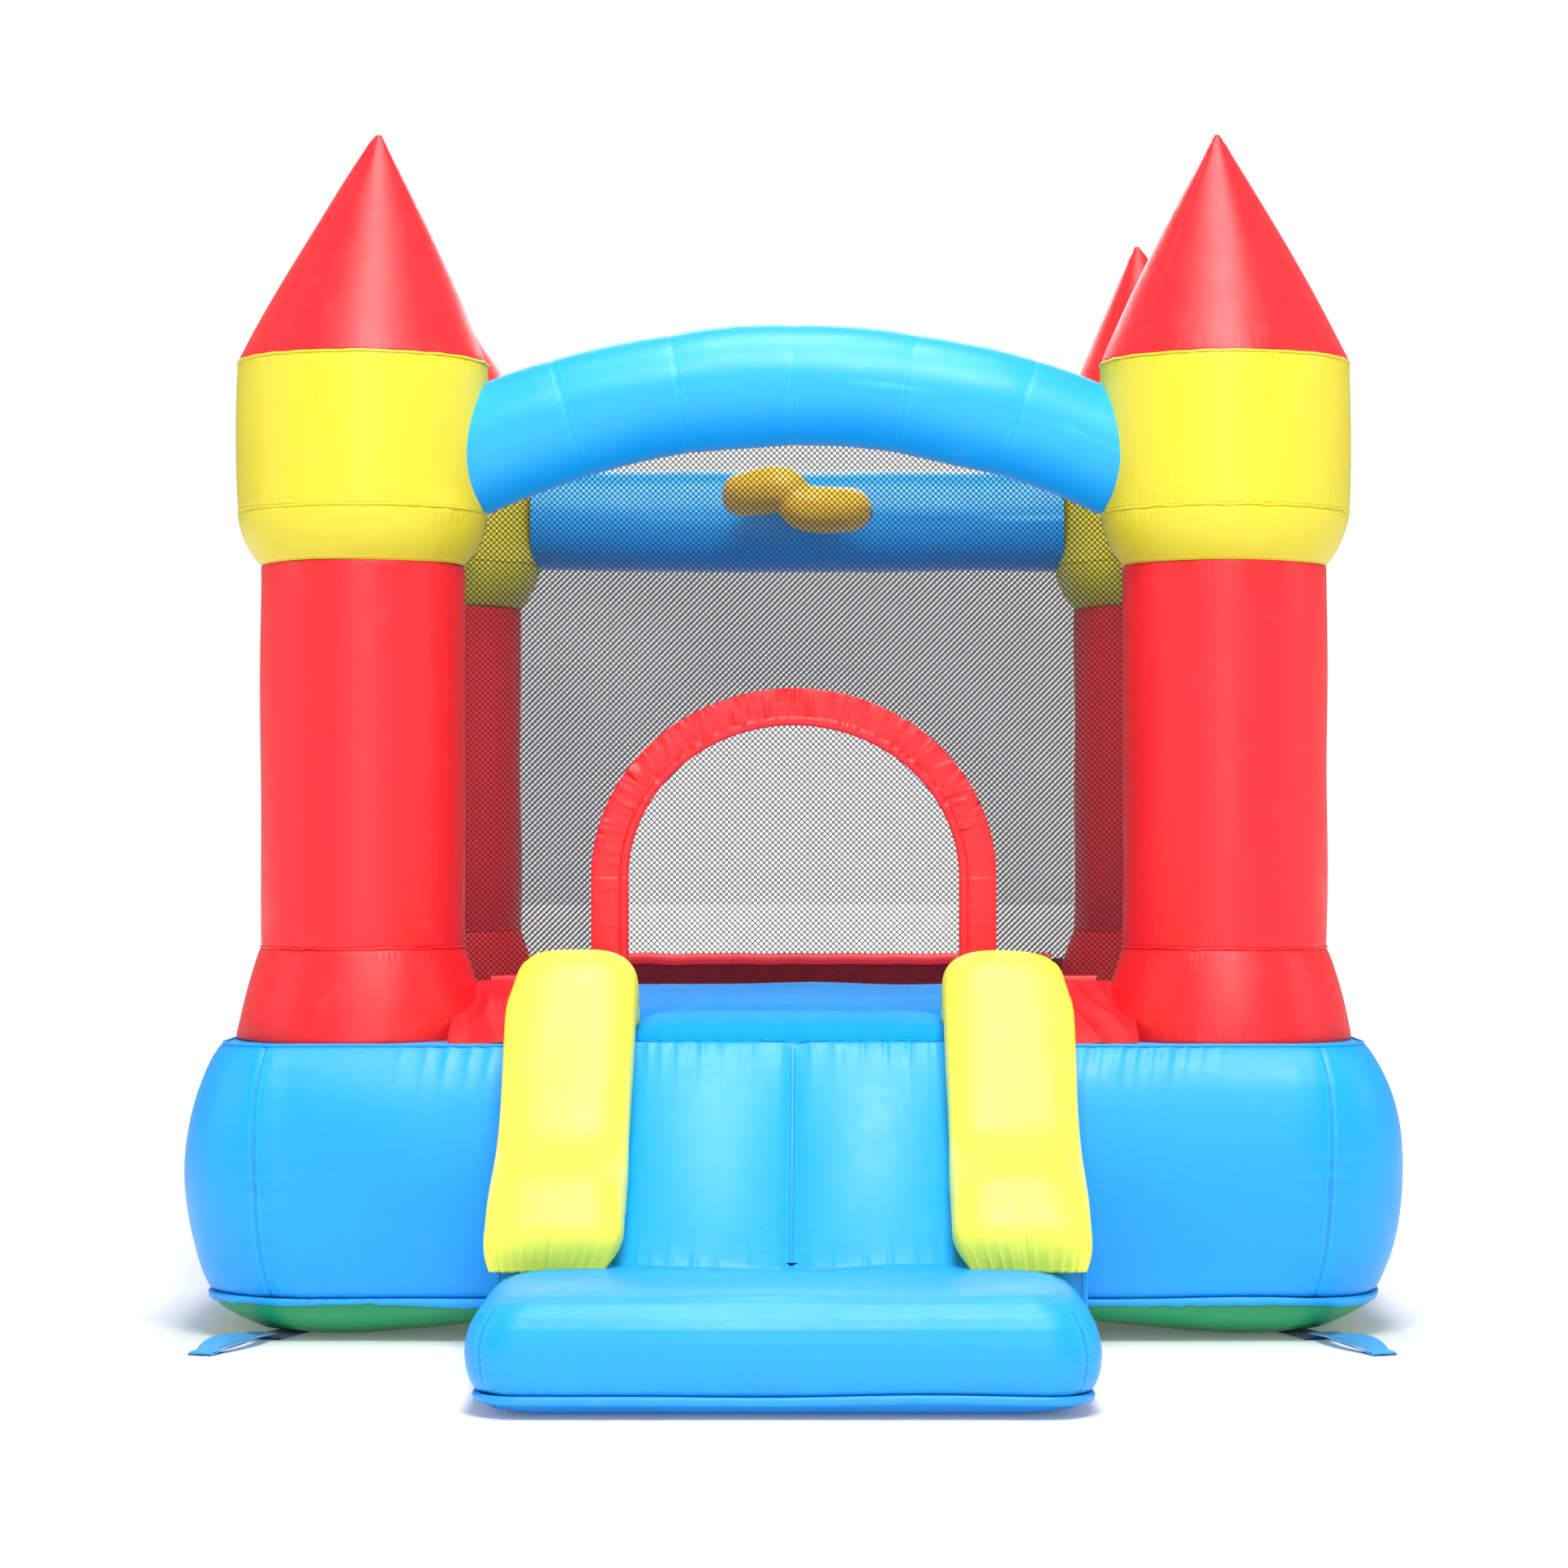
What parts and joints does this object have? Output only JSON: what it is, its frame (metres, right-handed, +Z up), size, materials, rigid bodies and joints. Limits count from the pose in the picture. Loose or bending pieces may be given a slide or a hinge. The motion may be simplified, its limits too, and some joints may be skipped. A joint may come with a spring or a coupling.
{
  "type": "inflatable bounce house",
  "caption": "Castle-shaped inflatable bounce house with corner towers, net walls, an arched doorway, a padded slide, a hoop and an air blower.",
  "frame": {"origin": "centre of the flat patch under the base, on the ground, midway between the four towers", "axes": "+Z up, +X to the right of someone who faces the doorway, +Y into the house; the slide comes out towards -Y and the blower stands at +Y"},
  "size_m": [2, 3.2812, 1.995],
  "materials": {
    "red_cloth": "coated oxford cloth, satin",
    "band_yellow_cloth": "coated oxford cloth, satin",
    "rail_yellow_cloth": "coated oxford cloth, satin",
    "hoop_yellow_cloth": "coated oxford cloth, satin",
    "blue_cloth": "coated oxford cloth, satin",
    "green_cloth": "coated oxford cloth, satin",
    "web_cloth": "uncoated woven cloth",
    "netting": "black knotless diamond netting",
    "webbing": "ribbed blue webbing",
    "tube_cloth": "light coated cloth",
    "strap_webbing": "black webbing",
    "housing": "moulded plastic",
    "intake_grille": "moulded plastic",
    "impeller": "moulded plastic",
    "switch_box": "moulded plastic",
    "switch_rocker": "moulded plastic",
    "frame_plastic": "moulded plastic",
    "feet_rubber": "moulded rubber",
    "motor": "cast and turned",
    "screws": "zinc plated"
  },
  "bodies": {
    "house": {"anchor_tabs": "webbing", "base_top_border": "blue_cloth", "base_underside": "green_cloth", "base_wall_front": "blue_cloth", "base_wall_left": "blue_cloth", "base_wall_rear": "blue_cloth", "base_wall_right": "blue_cloth", "blower_feet": "feet_rubber", "blower_handle": "frame_plastic", "blower_housing_left": "housing", "blower_housing_right": "housing", "blower_housing_screws": "screws", "blower_intake_grille": "intake_grille", "blower_motor": "motor", "blower_stand": "frame_plastic", "blower_switch_box": "switch_box", "bounce_floor": "blue_cloth", "doorway_trim": "red_cloth", "front_apron": "red_cloth", "front_arch_beam": "blue_cloth", "front_net": "netting", "hoop_neck": "hoop_yellow_cloth", "hoop_ring": "hoop_yellow_cloth", "inflation_tube": "tube_cloth", "inflation_tube_strap": "strap_webbing", "inner_webs": "web_cloth", "left_apron": "red_cloth", "left_beam": "blue_cloth", "left_net": "netting", "rear_apron": "red_cloth", "rear_beam": "blue_cloth", "rear_net": "netting", "right_apron": "red_cloth", "right_beam": "blue_cloth", "right_net": "netting", "slide_landing": "blue_cloth", "slide_rail_left": "rail_yellow_cloth", "slide_rail_right": "rail_yellow_cloth", "slide_ramp": "blue_cloth", "slide_ramp_sides": "blue_cloth", "slide_threshold_pad": "blue_cloth", "tower_band_front_left": "band_yellow_cloth", "tower_band_front_right": "band_yellow_cloth", "tower_band_rear_left": "band_yellow_cloth", "tower_band_rear_right": "band_yellow_cloth", "tower_column_front_left": "red_cloth", "tower_column_front_right": "red_cloth", "tower_column_rear_left": "red_cloth", "tower_column_rear_right": "red_cloth", "tower_cone_front_left": "red_cloth", "tower_cone_front_right": "red_cloth", "tower_cone_rear_left": "red_cloth", "tower_cone_rear_right": "red_cloth"},
    "loop_front_left": {"anchor_loop_front_left": "webbing"},
    "loop_front_right": {"anchor_loop_front_right": "webbing"},
    "loop_rear_left": {"anchor_loop_rear_left": "webbing"},
    "loop_rear_right": {"anchor_loop_rear_right": "webbing"},
    "impeller": {"blower_impeller": "impeller"},
    "rocker": {"blower_switch_rocker": "switch_rocker"}
  },
  "joints": [
    {"name": "loop_front_left_fold", "type": "hinge", "parent": "house", "child": "loop_front_left", "pos_m": [-0.862, -0.822, 0.0035], "axis": [-0.9436, 0.3312, 0], "range_deg": [0, 25]},
    {"name": "loop_front_right_fold", "type": "hinge", "parent": "house", "child": "loop_front_right", "pos_m": [0.862, -0.822, 0.0035], "axis": [-0.9436, -0.3312, 0], "range_deg": [0, 25]},
    {"name": "loop_rear_left_fold", "type": "hinge", "parent": "house", "child": "loop_rear_left", "pos_m": [-0.862, 0.822, 0.0035], "axis": [0.9436, 0.3312, 0], "range_deg": [0, 25]},
    {"name": "loop_rear_right_fold", "type": "hinge", "parent": "house", "child": "loop_rear_right", "pos_m": [0.862, 0.822, 0.0035], "axis": [0.9436, -0.3312, 0], "range_deg": [0, 25]},
    {"name": "impeller_spin", "type": "hinge", "parent": "house", "child": "impeller", "pos_m": [0.42, 1.4, 0.165], "axis": [1, 0, 0], "continuous": true},
    {"name": "switch_rock", "type": "hinge", "parent": "house", "child": "rocker", "pos_m": [0.521, 1.488, 0.166], "axis": [0, 1, 0], "range_deg": [0, 14]}
  ]
}
